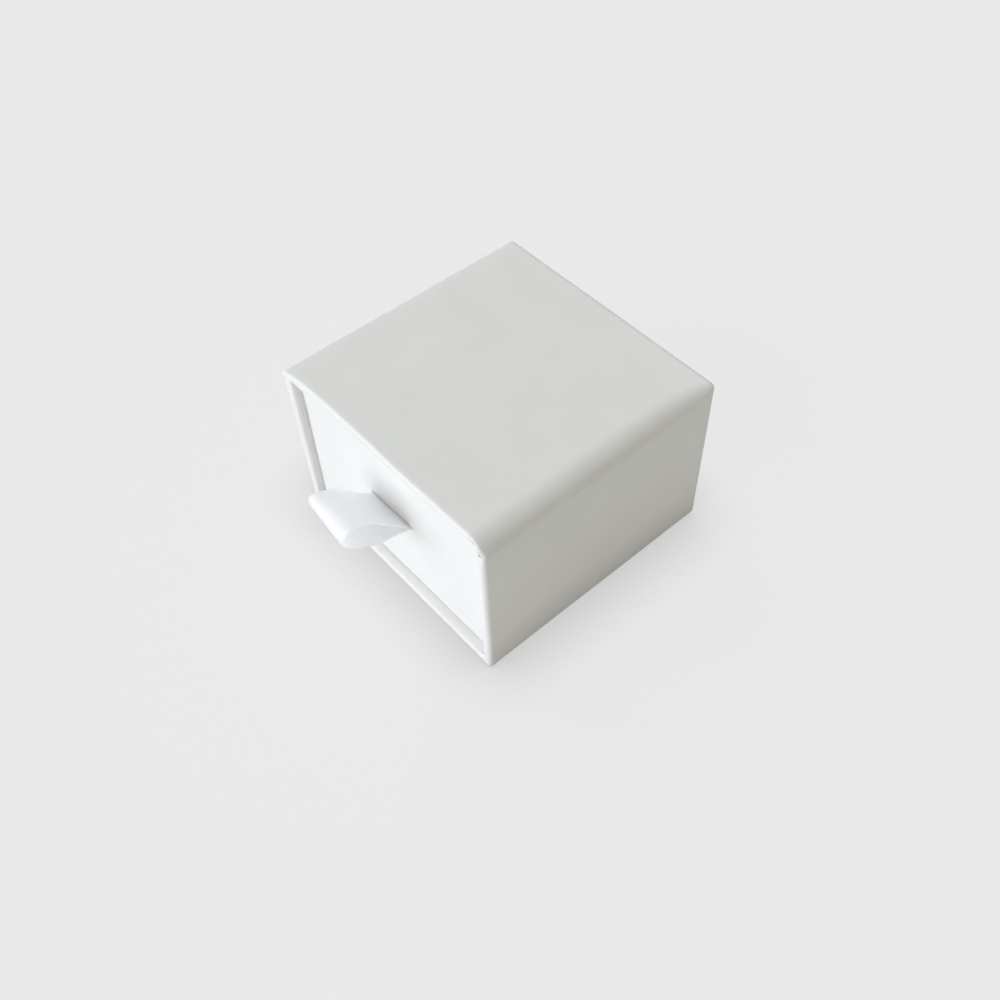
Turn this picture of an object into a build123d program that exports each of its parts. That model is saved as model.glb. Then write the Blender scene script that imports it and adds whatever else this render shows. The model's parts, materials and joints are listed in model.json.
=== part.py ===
from build123d import *
import os

os.makedirs("parts", exist_ok=True)

# A small white gift box: a board sleeve, a drawer in it and a ribbon loop to pull the drawer by.
# Millimetres. The origin is the middle of the sleeve's underside, X runs to the right,
# Y from the open front to the back, and Z up.

# Stock that every piece is made from
board = 1.5
paper = 0.15
stay_tape = 0.15

# Sleeve, over its paper
sleeve_width = 60.0
sleeve_depth = 60.0
sleeve_height = 40.0
sleeve_fold_reach = 4.3
sleeve_fold_drop = 2.4
sleeve_crown_radius = 2.8
sleeve_fold_radius = 0.85
sleeve_foot_radius = 0.9
sleeve_seam_radius = 0.9
sleeve_back_radius = 0.7
sleeve_rim_radius = 0.4
sleeve_lip_radius = 0.3
sleeve_inner_radius = 0.5
sleeve_turn_in = 12.0

# Drawer, and the room that it has in the sleeve
drawer_recess = 2.0
drawer_side_gap = 0.3
drawer_floor_gap = 0.6
drawer_head_gap = 0.4
drawer_back_gap = 0.3
drawer_edge_radius = 0.6
drawer_rim_radius = 0.6
drawer_lip_radius = 0.3
drawer_inner_radius = 0.5
stay_leg = 11.0
stay_setback = 2.0

# Ribbon pull, whose loop is drawn from the side: out is away from the drawer's front, up is up
ribbon_width = 12.0
ribbon_thickness = 0.25
pull_offset = -1.4
pull_height = 20.0
slit_side_gap = 0.5
slit_lip_gap = 0.25
pull_lead = 0.45
pull_root_radius = 0.3
pull_climb_angle = 46.5
pull_climb = 10.5
pull_crest_out = 12.5
pull_crest_up = 10.9
pull_fold_out = 14.8
pull_fold_up = 8.2
pull_belly_out = 9.6
pull_belly_up = 2.8
tail_setback = 0.1
tail_length = 8.0
patch_margin = 3.0
patch_corner_radius = 1.5

# Ring insert that lies on the drawer's floor
insert_gap = 0.7
insert_card = 0.8
insert_foam = 18.0
insert_velvet = 0.6
insert_corner_radius = 3.0
insert_top_radius = 2.0
ring_slit = 1.6

# Sizes that follow from these
wall = board + 2 * paper
hollow_width = sleeve_width - 2 * paper - 2 * board
hollow_height = sleeve_height - 2 * paper - 2 * board
hollow_depth = sleeve_depth - paper - board
cavity_width = sleeve_width - 2 * wall
cavity_height = sleeve_height - 2 * wall
sleeve_middle = Vector(0, 0, sleeve_height / 2)

# The upper right fold is a wide crown that leaves the top, a sloping flat, and a tight turn at the side
crown_centre = Vector(sleeve_width / 2 - sleeve_fold_reach, sleeve_height - sleeve_crown_radius)
fold_centre = Vector(sleeve_width / 2 - sleeve_fold_radius, sleeve_height - sleeve_fold_drop)
fold_step = fold_centre - crown_centre
fold_run = fold_step.normalized()
fold_share = (sleeve_crown_radius - sleeve_fold_radius) / fold_step.length
fold_turn = fold_run * fold_share + fold_run.rotate(Axis.Z, 90) * (1 - fold_share**2) ** 0.5

drawer_width = cavity_width - 2 * drawer_side_gap
drawer_height = cavity_height - drawer_floor_gap - drawer_head_gap
drawer_front = drawer_recess - sleeve_depth / 2
drawer_back = sleeve_depth / 2 - wall - drawer_back_gap
drawer_depth = drawer_back - drawer_front
drawer_middle = (drawer_front + drawer_back) / 2
drawer_foot = wall + drawer_floor_gap
drawer_rim = drawer_foot + drawer_height
tray_core_width = drawer_width - 2 * paper
tray_core_depth = drawer_depth - 2 * paper
tray_hollow_width = tray_core_width - 2 * board
tray_hollow_depth = tray_core_depth - 2 * board
tray_board_top = drawer_foot + paper + board
tray_floor = tray_board_top + paper
tray_front = drawer_front + wall
tray_width = drawer_width - 2 * wall
tray_depth = drawer_depth - 2 * wall

slit_width = ribbon_width + 2 * slit_side_gap
slit_height = 2 * ribbon_thickness + 2 * slit_lip_gap
pull_root = drawer_front - pull_lead

insert_width = tray_width - 2 * insert_gap
insert_depth = tray_depth - 2 * insert_gap
foam_width = insert_width - 2 * insert_velvet
foam_depth = insert_depth - 2 * insert_velvet
foam_corner_radius = insert_corner_radius - insert_velvet
foam_foot = tray_floor + insert_card
foam_top = foam_foot + insert_foam
insert_top = foam_top + insert_velvet

# The mouth faces the front, with X to the right and Z up in the plane
mouth = Plane((0, -sleeve_depth / 2, 0), x_dir=(1, 0, 0), z_dir=(0, -1, 0))
drawer_face = Plane((0, drawer_front, 0), x_dir=(1, 0, 0), z_dir=(0, -1, 0))
tray_face = Plane((0, tray_front, 0), x_dir=(1, 0, 0), z_dir=(0, 1, 0))
pull_side = Plane.YZ.offset(pull_offset)


def write(piece, name):
    """Label a finished piece and write it to its own file."""
    piece.part.label = name
    export_step(piece.part, f"parts/{name}.step")


def sleeve_outline(inset):
    """Draw the sleeve from the front, drawn in by the inset: soft folds right, crisp seams left."""
    left, right = inset - sleeve_width / 2, sleeve_width / 2 - inset
    foot, top = inset, sleeve_height - inset
    flat_start = crown_centre + fold_turn * (sleeve_crown_radius - inset)
    flat_end = fold_centre + fold_turn * (sleeve_fold_radius - inset)
    with BuildSketch(mouth.offset(-inset)) as outline:
        with BuildLine():
            crown = TangentArc((crown_centre.X, top), flat_start, tangent=(1, 0))
            flat = Line(flat_start, flat_end)
            edge = TangentArc(flat_end, (right, fold_centre.Y), tangent=flat % 1)
            Polyline(edge @ 1, (right, foot), (left, foot), (left, top), crown @ 0)
        make_face()
        foot_corner = outline.vertices().group_by(Axis.Y)[0].sort_by(Axis.X)[-1]
        fillet(foot_corner, sleeve_foot_radius - inset)
        fillet(outline.vertices().group_by(Axis.X)[0], sleeve_seam_radius - inset)
    return outline.sketch


# What the sleeve's wrap goes round: its boards and the space between them, as one block
with BuildPart() as sleeve_core:
    extrude(sleeve_outline(paper), amount=2 * paper - sleeve_depth)
    back_edges = sleeve_core.faces().sort_by(Axis.Y)[-1].edges()
    fillet(back_edges, sleeve_back_radius - paper)

# The four long boards as one tube, whose outer front edges are pressed round
with BuildPart() as sleeve_tube:
    add(sleeve_core.part)
    with BuildSketch(mouth):
        with Locations((0, sleeve_height / 2)):
            Rectangle(hollow_width, hollow_height)
    extrude(amount=-sleeve_depth, mode=Mode.SUBTRACT)
    mouth_face = sleeve_tube.faces().sort_by(Axis.Y)[0]
    fillet(mouth_face.outer_wire().edges(), sleeve_rim_radius - paper)

# Each long board is parted from its neighbours by the mitres at its two folds
tube_boards = (
    ("sleeve_top_board", Vector(0, 0, 1), Vector(1, 0, 0), hollow_height / 2, hollow_width / 2),
    ("sleeve_base_board", Vector(0, 0, -1), Vector(1, 0, 0), hollow_height / 2, hollow_width / 2),
    ("sleeve_left_board", Vector(-1, 0, 0), Vector(0, 0, 1), hollow_width / 2, hollow_height / 2),
    ("sleeve_right_board", Vector(1, 0, 0), Vector(0, 0, 1), hollow_width / 2, hollow_height / 2),
)
for name, outward, along, reach, half in tube_boards:
    with BuildPart() as tube_board:
        add(sleeve_tube.part)
        for side in (-1, 1):
            corner = sleeve_middle + outward * reach + along * (side * half)
            mitre = Plane(corner, x_dir=(0, 1, 0), z_dir=outward - along * side)
            split(bisect_by=mitre, keep=Keep.TOP)
    write(tube_board, name)

# The back board stands between the long boards, flush with their ends
with BuildPart() as sleeve_back_board:
    add(sleeve_core.part)
    with BuildSketch(mouth.offset(-hollow_depth)):
        with Locations((0, sleeve_height / 2)):
            Rectangle(hollow_width, hollow_height)
    extrude(amount=-board, mode=Mode.INTERSECT)
write(sleeve_back_board, "sleeve_back_board")

# The wrap covers the sleeve outside, goes round the mouth and turns in
with BuildPart() as sleeve_wrap:
    extrude(sleeve_outline(0), amount=-sleeve_depth)
    back_edges = sleeve_wrap.faces().sort_by(Axis.Y)[-1].edges()
    fillet(back_edges, sleeve_back_radius)
    with BuildSketch(mouth):
        with Locations((0, sleeve_height / 2)):
            RectangleRounded(cavity_width, cavity_height, sleeve_inner_radius)
    extrude(amount=-sleeve_turn_in, mode=Mode.SUBTRACT)
    mouth_face = sleeve_wrap.faces().sort_by(Axis.Y)[0]
    fillet(mouth_face.outer_wire().edges(), sleeve_rim_radius)
    mouth_face = sleeve_wrap.faces().sort_by(Axis.Y)[0]
    fillet(mouth_face.inner_wires()[0].edges(), sleeve_lip_radius)
    with BuildSketch(mouth.offset(-sleeve_turn_in)):
        with Locations((0, sleeve_height / 2)):
            Rectangle(hollow_width, hollow_height)
    extrude(amount=sleeve_turn_in - hollow_depth, mode=Mode.SUBTRACT)
    add(sleeve_tube.part, mode=Mode.SUBTRACT)
    add(sleeve_back_board.part, mode=Mode.SUBTRACT)
write(sleeve_wrap, "sleeve_wrap")

# The lining covers the boards inside, from the turned-in wrap to the back
with BuildPart() as sleeve_lining:
    with BuildSketch(mouth.offset(-sleeve_turn_in)):
        with Locations((0, sleeve_height / 2)):
            Rectangle(hollow_width, hollow_height)
    extrude(amount=sleeve_turn_in - hollow_depth)
    with BuildSketch(mouth.offset(-sleeve_turn_in)):
        with Locations((0, sleeve_height / 2)):
            RectangleRounded(cavity_width, cavity_height, sleeve_inner_radius)
    extrude(amount=sleeve_turn_in + paper - hollow_depth, mode=Mode.SUBTRACT)
write(sleeve_lining, "sleeve_lining")

# The drawer's boards as one tray, with the slit for the ribbon in its front
with BuildPart() as tray_core:
    with BuildSketch(Plane.XY.offset(drawer_foot + paper)):
        with Locations((0, drawer_middle)):
            RectangleRounded(tray_core_width, tray_core_depth, drawer_edge_radius - paper)
    extrude(amount=drawer_height - 2 * paper)
    foot_edges = tray_core.faces().sort_by(Axis.Z)[0].edges()
    fillet(foot_edges, drawer_edge_radius - paper)
    with BuildSketch(Plane.XY.offset(tray_board_top)):
        with Locations((0, drawer_middle)):
            Rectangle(tray_hollow_width, tray_hollow_depth)
    extrude(amount=drawer_height, mode=Mode.SUBTRACT)
    rim_face = tray_core.faces().sort_by(Axis.Z)[-1]
    fillet(rim_face.outer_wire().edges(), drawer_rim_radius - paper)
    with BuildSketch(drawer_face):
        with Locations((pull_offset, pull_height)):
            SlotOverall(slit_width, slit_height)
    extrude(amount=-wall, mode=Mode.SUBTRACT)

# Four paper stays hold the upright corners, pressed flush into the boards
with BuildPart() as drawer_corner_stays:
    with BuildSketch(Plane.XY.offset(tray_board_top + stay_setback)):
        with Locations((0, drawer_middle)):
            RectangleRounded(tray_core_width, tray_core_depth, drawer_edge_radius - paper)
            RectangleRounded(
                tray_core_width - 2 * stay_tape,
                tray_core_depth - 2 * stay_tape,
                drawer_edge_radius - paper - stay_tape,
                mode=Mode.SUBTRACT,
            )
            Rectangle(tray_core_width - 2 * stay_leg, tray_core_depth, mode=Mode.SUBTRACT)
            Rectangle(tray_core_width, tray_core_depth - 2 * stay_leg, mode=Mode.SUBTRACT)
    extrude(amount=drawer_rim - tray_board_top - 2 * stay_setback)
write(drawer_corner_stays, "drawer_corner_stays")

# Each board of the drawer is the part of the tray that lies above all of its planes
hollow_front = Vector(0, drawer_middle - tray_hollow_depth / 2, 0)
hollow_back = Vector(0, drawer_middle + tray_hollow_depth / 2, 0)
hollow_left = Vector(-tray_hollow_width / 2, 0, 0)
hollow_right = Vector(tray_hollow_width / 2, 0, 0)
above_base = Plane.XY.offset(tray_board_top)
below_base = Plane((0, 0, tray_board_top), z_dir=(0, 0, -1))
between = (Plane(hollow_front, z_dir=(0, 1, 0)), Plane(hollow_back, z_dir=(0, -1, 0)))
tray_boards = (
    ("drawer_base_board", (below_base,)),
    ("drawer_front_board", (above_base, Plane(hollow_front, z_dir=(0, -1, 0)))),
    ("drawer_back_board", (above_base, Plane(hollow_back, z_dir=(0, 1, 0)))),
    ("drawer_left_board", (above_base, *between, Plane(hollow_left, z_dir=(-1, 0, 0)))),
    ("drawer_right_board", (above_base, *between, Plane(hollow_right, z_dir=(1, 0, 0)))),
)
for name, planes in tray_boards:
    with BuildPart() as tray_board:
        add(tray_core.part)
        add(drawer_corner_stays.part, mode=Mode.SUBTRACT)
        for plane in planes:
            split(bisect_by=plane, keep=Keep.TOP)
    write(tray_board, name)

# The drawer's wrap covers it outside and goes over the rim, down to the base inside
with BuildPart() as drawer_wrap:
    with BuildSketch(Plane.XY.offset(drawer_foot)):
        with Locations((0, drawer_middle)):
            RectangleRounded(drawer_width, drawer_depth, drawer_edge_radius)
    extrude(amount=drawer_height)
    foot_edges = drawer_wrap.faces().sort_by(Axis.Z)[0].edges()
    fillet(foot_edges, drawer_edge_radius)
    with BuildSketch(Plane.XY.offset(tray_board_top)):
        with Locations((0, drawer_middle)):
            RectangleRounded(tray_width, tray_depth, drawer_inner_radius)
    extrude(amount=drawer_height, mode=Mode.SUBTRACT)
    rim_face = drawer_wrap.faces().sort_by(Axis.Z)[-1]
    fillet(rim_face.outer_wire().edges(), drawer_rim_radius)
    rim_face = drawer_wrap.faces().sort_by(Axis.Z)[-1]
    fillet(rim_face.inner_wires()[0].edges(), drawer_lip_radius)
    with BuildSketch(drawer_face):
        with Locations((pull_offset, pull_height)):
            SlotOverall(slit_width, slit_height)
    extrude(amount=-wall, mode=Mode.SUBTRACT)
    add(tray_core.part, mode=Mode.SUBTRACT)
write(drawer_wrap, "drawer_wrap")

# A paper sheet covers the base board inside the drawer
with BuildPart() as drawer_floor_paper:
    with BuildSketch(Plane.XY.offset(tray_board_top)):
        with Locations((0, drawer_middle)):
            RectangleRounded(tray_width, tray_depth, drawer_inner_radius)
    extrude(amount=paper)
write(drawer_floor_paper, "drawer_floor_paper")

# The ribbon's two ends go through the slit together and part behind the front, up and down
with BuildPart() as pull_tails:
    with BuildSketch(pull_side):
        with Locations((drawer_front + tail_setback, pull_height)):
            Rectangle(wall - tail_setback, 2 * ribbon_thickness, align=(Align.MIN, Align.CENTER))
        with Locations((tray_front, pull_height)):
            Rectangle(
                ribbon_thickness,
                2 * (ribbon_thickness + tail_length),
                align=(Align.MIN, Align.CENTER),
            )
    extrude(amount=ribbon_width / 2, both=True)
write(pull_tails, "pull_tails")

# A paper patch is pressed down over the glued tails
with BuildPart() as pull_patch:
    with BuildSketch(tray_face):
        with Locations((pull_offset, -pull_height)):
            RectangleRounded(
                ribbon_width + 2 * patch_margin,
                2 * (ribbon_thickness + tail_length + patch_margin),
                patch_corner_radius,
            )
    extrude(amount=ribbon_thickness + paper)
    add(pull_tails.part, mode=Mode.SUBTRACT)
write(pull_patch, "pull_patch")

# The loop climbs from the slit, rounds its crest, folds back and comes home along its belly
with BuildPart() as pull_loop:
    with BuildSketch(pull_side) as loop_side:
        with BuildLine():
            root = (pull_root, pull_height)
            crest = (pull_root - pull_crest_out, pull_height + pull_crest_up)
            fold = (pull_root - pull_fold_out, pull_height + pull_fold_up)
            belly = (pull_root - pull_belly_out, pull_height + pull_belly_up)
            climb = PolarLine(root, pull_climb, 180 - pull_climb_angle)
            over = TangentArc(climb @ 1, crest, tangent=climb % 1)
            turn = TangentArc(crest, fold, tangent=over % 1)
            under = TangentArc(fold, belly, tangent=turn % 1)
            TangentArc(belly, root, tangent=under % 1)
        loop_middle = make_face().face()
        offset(loop_middle, amount=ribbon_thickness / 2, mode=Mode.REPLACE)
        offset(loop_middle, amount=-ribbon_thickness / 2, mode=Mode.SUBTRACT)
        with Locations(root):
            Circle(pull_root_radius)
    extrude(amount=ribbon_width / 2, both=True)
write(pull_loop, "pull_loop")

# The insert's card lies on the drawer's floor
with BuildPart() as card_sheet:
    with BuildSketch(Plane.XY.offset(tray_floor)):
        with Locations((0, drawer_middle)):
            RectangleRounded(foam_width, foam_depth, foam_corner_radius)
    extrude(amount=insert_card)
write(card_sheet, "insert_card")

# The foam is two rolls, front and back, that hold a ring in the slit between them
with BuildPart() as foam_rolls:
    with BuildSketch(Plane.XY.offset(foam_foot)):
        with Locations((0, drawer_middle)):
            RectangleRounded(foam_width, foam_depth, foam_corner_radius)
            Rectangle(foam_width, ring_slit + 2 * insert_velvet, mode=Mode.SUBTRACT)
    extrude(amount=insert_foam)
    top_edges = foam_rolls.faces().group_by(Axis.Z)[-1].edges()
    fillet(top_edges, insert_top_radius - insert_velvet)
write(foam_rolls, "insert_foam")

# The velvet covers both rolls and is tucked down the slit to the card
with BuildPart() as velvet_cover:
    with BuildSketch(Plane.XY.offset(tray_floor)):
        with Locations((0, drawer_middle)):
            RectangleRounded(insert_width, insert_depth, insert_corner_radius)
    extrude(amount=insert_top - tray_floor)
    with BuildSketch(Plane.XY.offset(insert_top)):
        with Locations((0, drawer_middle)):
            Rectangle(insert_width, ring_slit)
    extrude(amount=-insert_foam, mode=Mode.SUBTRACT)
    top_edges = velvet_cover.faces().group_by(Axis.Z)[-1].edges()
    fillet(top_edges, insert_top_radius)
    add(foam_rolls.part, mode=Mode.SUBTRACT)
    add(card_sheet.part, mode=Mode.SUBTRACT)
write(velvet_cover, "insert_velvet")
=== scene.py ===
import json
import math

import bmesh
import bpy
from bpy.props import FloatProperty, FloatVectorProperty, PointerProperty
from mathutils import Matrix, Vector, noise


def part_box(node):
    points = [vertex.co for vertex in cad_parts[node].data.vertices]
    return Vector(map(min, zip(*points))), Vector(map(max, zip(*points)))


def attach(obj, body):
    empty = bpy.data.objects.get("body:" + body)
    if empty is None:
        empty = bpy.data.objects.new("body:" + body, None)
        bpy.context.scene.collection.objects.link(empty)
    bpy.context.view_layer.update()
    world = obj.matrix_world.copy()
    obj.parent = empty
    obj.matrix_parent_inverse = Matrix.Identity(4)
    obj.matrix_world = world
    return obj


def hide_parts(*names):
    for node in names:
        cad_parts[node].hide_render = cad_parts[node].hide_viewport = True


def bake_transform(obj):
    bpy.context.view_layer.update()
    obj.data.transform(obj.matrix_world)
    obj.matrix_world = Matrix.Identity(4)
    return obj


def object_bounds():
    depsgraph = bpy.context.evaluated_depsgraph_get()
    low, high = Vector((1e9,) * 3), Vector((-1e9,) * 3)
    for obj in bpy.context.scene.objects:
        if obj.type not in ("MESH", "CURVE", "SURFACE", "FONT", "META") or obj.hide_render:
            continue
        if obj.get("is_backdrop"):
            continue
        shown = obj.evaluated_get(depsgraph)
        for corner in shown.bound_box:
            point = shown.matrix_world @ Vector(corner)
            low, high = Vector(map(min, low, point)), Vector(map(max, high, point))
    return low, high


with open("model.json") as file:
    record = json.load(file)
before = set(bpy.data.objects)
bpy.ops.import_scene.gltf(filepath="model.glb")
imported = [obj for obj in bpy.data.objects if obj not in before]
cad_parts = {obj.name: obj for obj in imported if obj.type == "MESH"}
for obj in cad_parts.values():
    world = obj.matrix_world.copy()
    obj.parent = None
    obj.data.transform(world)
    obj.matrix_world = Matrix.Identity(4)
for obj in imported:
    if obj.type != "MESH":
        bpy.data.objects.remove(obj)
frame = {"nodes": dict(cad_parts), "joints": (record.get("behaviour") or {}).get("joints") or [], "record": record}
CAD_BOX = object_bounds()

bl_info = {
    "name": "Gift box with drawer",
    "version": (1, 0, 0),
    "blender": (4, 5, 0),
    "location": "3D View > Sidebar > Gift box",
    "description": "Dresses a small drawer box in white paper, satin ribbon and velvet, on a pale floor",
    "category": "Object",
}

MM = 0.001
HAIR = 0.05 * MM
ACROSS, ALONG, UP = Vector((1, 0, 0)), Vector((0, 1, 0)), Vector((0, 0, 1))
SLEEVE_LOW, SLEEVE_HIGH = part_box("sleeve_wrap")
DRAWER_LOW, DRAWER_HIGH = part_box("drawer_wrap")
TRAY_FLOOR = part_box("drawer_floor_paper")[0].z
FOAM_LOW, FOAM_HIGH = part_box("insert_foam")
VELVET_LOW, VELVET_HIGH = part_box("insert_velvet")
PULL_ROOT = Vector(next(j for j in frame["joints"] if j["name"] == "pull_flex")["pos_m"])


def length(name, description, millimetres):
    """A size that a user may change, given in millimetres and kept in metres."""
    return FloatProperty(
        name=name, description=description, default=millimetres * MM, min=0, unit="LENGTH", precision=5
    )


def colour(name, description, shade):
    """A colour that a user may change."""
    return FloatVectorProperty(
        name=name, description=description, default=shade, size=3, min=0, max=1, subtype="COLOR"
    )


def number(name, description, value):
    """A plain amount that a user may change."""
    return FloatProperty(name=name, description=description, default=value, min=0)


def turn(name, description, degrees):
    """An angle that a user may change."""
    return FloatProperty(name=name, description=description, default=math.radians(degrees), subtype="ANGLE")


class SleeveSizes(bpy.types.PropertyGroup):
    """Sizes of the sleeve's paper cover, whose upper right edge is a wide fold"""

    paper: length("Paper", "Thickness of the wrapping paper", 0.15)
    wall: length("Wall", "Thickness of the sleeve's wall with its paper", 1.8)
    shoulder_front: length("Shoulder, front", "Radius of the fold where it leaves the top, at the mouth", 5.2)
    shoulder_back: length("Shoulder, back", "Radius of the fold where it leaves the top, at the back", 1.3)
    slope_front: turn("Fold slope, front", "How steep the flat below the shoulder is, at the mouth", 44.5)
    slope_back: turn("Fold slope, back", "How steep the flat below the shoulder is, at the back", 42.0)
    flat_front: length("Fold flat, front", "How long that flat is, at the mouth", 1.2)
    flat_back: length("Fold flat, back", "How long that flat is, at the back", 0.1)
    fold_edge: length("Fold edge", "Radius of the edge where that flat meets the side", 0.8)
    widening: length("Fold widening", "How far from the back the fold has widened by two thirds", 6.0)
    foot: length("Foot radius", "Radius of the lower right fold", 0.7)
    seam: length("Seam radius", "Radius of the crisp folds on the left", 0.7)
    back: length("Back radius", "Radius of the edges round the back", 0.7)
    rim: length("Rim radius", "Radius of the mouth's outer edge", 0.65)
    soft_rim: length("Soft rim radius", "Radius of the worn outer edge on the mouth's right", 0.95)
    lip: length("Lip radius", "Radius of the mouth's inner edge", 0.45)
    inner: length("Inner corner radius", "Radius of the corners inside the mouth", 0.5)
    inner_fold: length("Inner fold radius", "Radius of the corner inside the mouth, under the fold", 1.4)
    turn_in: length("Turn-in", "How far the paper runs in from the mouth", 12.0)
    uneven: length("Unevenness", "How far the hand-laid paper strays from a true plane", 0.06)
    ripple: length("Ripple", "How far the paper stands up in places along the fold", 0.22)
    crumple: length("Crumple", "How deep the paper is crumpled at the mouth's upper right corner", 0.28)


class DrawerSizes(bpy.types.PropertyGroup):
    """Sizes of the drawer's paper cover"""

    paper: length("Paper", "Thickness of the wrapping paper", 0.15)
    wall: length("Wall", "Thickness of the drawer's wall with its paper", 1.8)
    edge: length("Edge radius", "Radius of the drawer's upright edges", 0.55)
    rim: length("Rim radius", "Radius of the drawer's upper edges", 0.5)
    foot: length("Foot radius", "Radius of the drawer's lower edges", 0.55)
    lip: length("Lip radius", "Radius of the rim's inner edge", 0.3)
    inner: length("Inner corner radius", "Radius of the corners inside the tray", 0.5)
    slit_width: length("Slit width", "Width of the slit that the ribbon comes through", 13.0)
    slit_height: length("Slit height", "Height of the slit that the ribbon comes through", 1.0)
    slit_edge: length("Slit edge", "Radius of the paper's edge round the slit", 0.15)
    lean_left: length("Lean to the left", "How far the drawer's left side stands towards the sleeve", 0.4)
    stand_out: length("Stand out", "How far the drawer's left front edge stands forward", 0.4)
    lean_out: length("Lean out", "How much further its upper end stands forward", 0.35)
    uneven: length("Unevenness", "How far the hand-laid paper strays from a true plane", 0.04)


class RibbonSizes(bpy.types.PropertyGroup):
    """Sizes of the ribbon"""

    width: length("Width", "Width of the satin ribbon", 12.0)
    thickness: length("Thickness", "Thickness of the satin ribbon", 0.25)


class InsertSizes(bpy.types.PropertyGroup):
    """Sizes of the ring insert"""

    velvet: length("Velvet", "Thickness of the velvet with its pile", 0.6)
    slit: length("Ring slit", "Gap between the two rolls", 1.6)
    corner: length("Corner radius", "Radius of the upright corners", 3.0)
    top: length("Top radius", "Radius of the rolls' upper edges", 2.4)
    crown: length("Crown", "How far the rolls swell up in the middle", 0.9)


class Colours(bpy.types.PropertyGroup):
    """Colours of the box's finishes"""

    wrap: colour("Wrap", "Matt white wrapping paper", (0.86, 0.86, 0.85))
    lining: colour("Lining", "White lining paper", (0.85, 0.85, 0.84))
    board: colour("Board", "Grey board", (0.42, 0.40, 0.37))
    tape: colour("Tape", "Brown stay tape", (0.62, 0.49, 0.34))
    ribbon: colour("Ribbon", "White satin", (0.95, 0.95, 0.96))
    foam: colour("Foam", "Open foam", (0.80, 0.80, 0.77))
    velvet: colour("Velvet", "White velvet", (0.83, 0.82, 0.80))
    floor: colour("Floor", "Pale floor", (0.80, 0.80, 0.80))


class StageSettings(bpy.types.PropertyGroup):
    """Floor, light and camera"""

    azimuth: turn("Azimuth", "How far round to the right of the front the camera stands", 50.16)
    elevation: turn("Elevation", "How far down the camera looks", 51.60)
    roll: turn("Roll", "How far the camera leans", -1.72)
    place: FloatVectorProperty(
        name="Camera place",
        description="Where the camera stands",
        default=(0.12118, -0.10190, 0.20069),
        size=3,
        subtype="TRANSLATION",
        unit="LENGTH",
    )
    lens: number("Lens", "Focal length in millimetres on a 36 mm sensor", 40.961)
    sky: number("Sky", "Strength of the even light from all round", 0.395)
    front: number("Front light", "Strength of the wide soft light from the front", 3.08)
    front_height: turn("Front light height", "How high the front light stands", 10.0)
    front_side: turn("Front light side", "How far to the left of the front it stands", 12.0)
    front_spread: turn("Front light spread", "How wide the front light is", 70.0)
    side: number("Side light", "Strength of the soft light from the left", 0.883)
    side_height: turn("Side light height", "How high the side light stands", 40.0)
    side_turn: turn("Side light turn", "How far round to the left of the front it stands", 95.0)
    side_spread: turn("Side light spread", "How wide the side light is", 40.0)
    floor_glow: number("Floor glow", "Share of the floor's look that is its own even tone", 0.90)
    floor_tone: number("Floor tone", "Brightness of that even tone", 0.841)
    contact: length("Contact shadow", "How far the shadow round the box's foot reaches", 14.0)
    contact_depth: number("Contact shadow depth", "How dark the shadow round the box's foot is", 0.42)
    bounce_depth: number("Bounce shadow depth", "How much less light the floor throws up there", 0.95)
    backdrop: number("Backdrop", "Brightness of the backdrop beyond the floor", 0.815)


def near(first, second, gap=0.02 * MM):
    """Whether two lengths are the same but for a small gap."""
    return abs(first - second) < gap


def between(value, stops, spare):
    """Whether a length lies between two stops, or past one by less than the spare."""
    return stops[0] - spare < value < stops[1] + spare


def clamp(value):
    """A value held between 0 and 1."""
    return min(1, max(0, value))


def middle(element):
    """The middle of a vertex, an edge or a face."""
    if isinstance(element, bmesh.types.BMVert):
        return element.co
    if isinstance(element, bmesh.types.BMEdge):
        return (element.verts[0].co + element.verts[1].co) / 2
    return element.calc_center_median()


def lies_along(edge, axis):
    """Whether an edge runs along an axis."""
    run = edge.verts[1].co - edge.verts[0].co
    return abs(run.normalized().dot(axis)) > 0.999


def borders_wall(edge, axis, level):
    """Whether an edge lies at a level on an axis and borders a face that runs along that axis."""
    at_level = near(middle(edge).dot(axis), level)
    return at_level and any(abs(f.normal.dot(axis)) < 0.1 for f in edge.link_faces)


def new_block(name, low, high):
    """Add a block between two corners and open it for editing, with nothing else selected."""
    bpy.ops.object.select_all(action="DESELECT")
    bpy.ops.mesh.primitive_cube_add(size=1, location=(low + high) / 2, scale=high - low)
    bpy.ops.object.transform_apply(location=True, rotation=True, scale=True)
    block = bpy.context.object
    block.name = block.data.name = name
    bpy.ops.object.mode_set(mode="EDIT")
    return block


def pick(piece, kind, test):
    """Select just the vertices, edges or faces that pass a test."""
    bpy.ops.mesh.select_mode(type=kind)
    bpy.ops.mesh.select_all(action="DESELECT")
    mesh = bmesh.from_edit_mesh(piece.data)
    mesh.normal_update()
    found = [e for e in {"VERT": mesh.verts, "EDGE": mesh.edges, "FACE": mesh.faces}[kind] if test(e)]
    for element in found:
        element.select_set(True)
    mesh.select_flush_mode()
    bmesh.update_edit_mesh(piece.data)
    if not found:
        raise RuntimeError(f"nothing to pick on {piece.name}")


def remove_faces(piece, test):
    """Delete the faces that pass a test."""
    pick(piece, "FACE", test)
    bpy.ops.mesh.delete(type="FACE")


def points(piece):
    """Each point of the piece that is being edited, which is brought up to date after the last."""
    mesh = bmesh.from_edit_mesh(piece.data)
    yield from mesh.verts
    bmesh.update_edit_mesh(piece.data)


def round_edges(piece, radius, segments, test):
    """Bevel the edges that pass a test."""
    pick(piece, "EDGE", test)
    bpy.ops.mesh.bevel(offset=radius, segments=segments, affect="EDGES", clamp_overlap=False)


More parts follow.
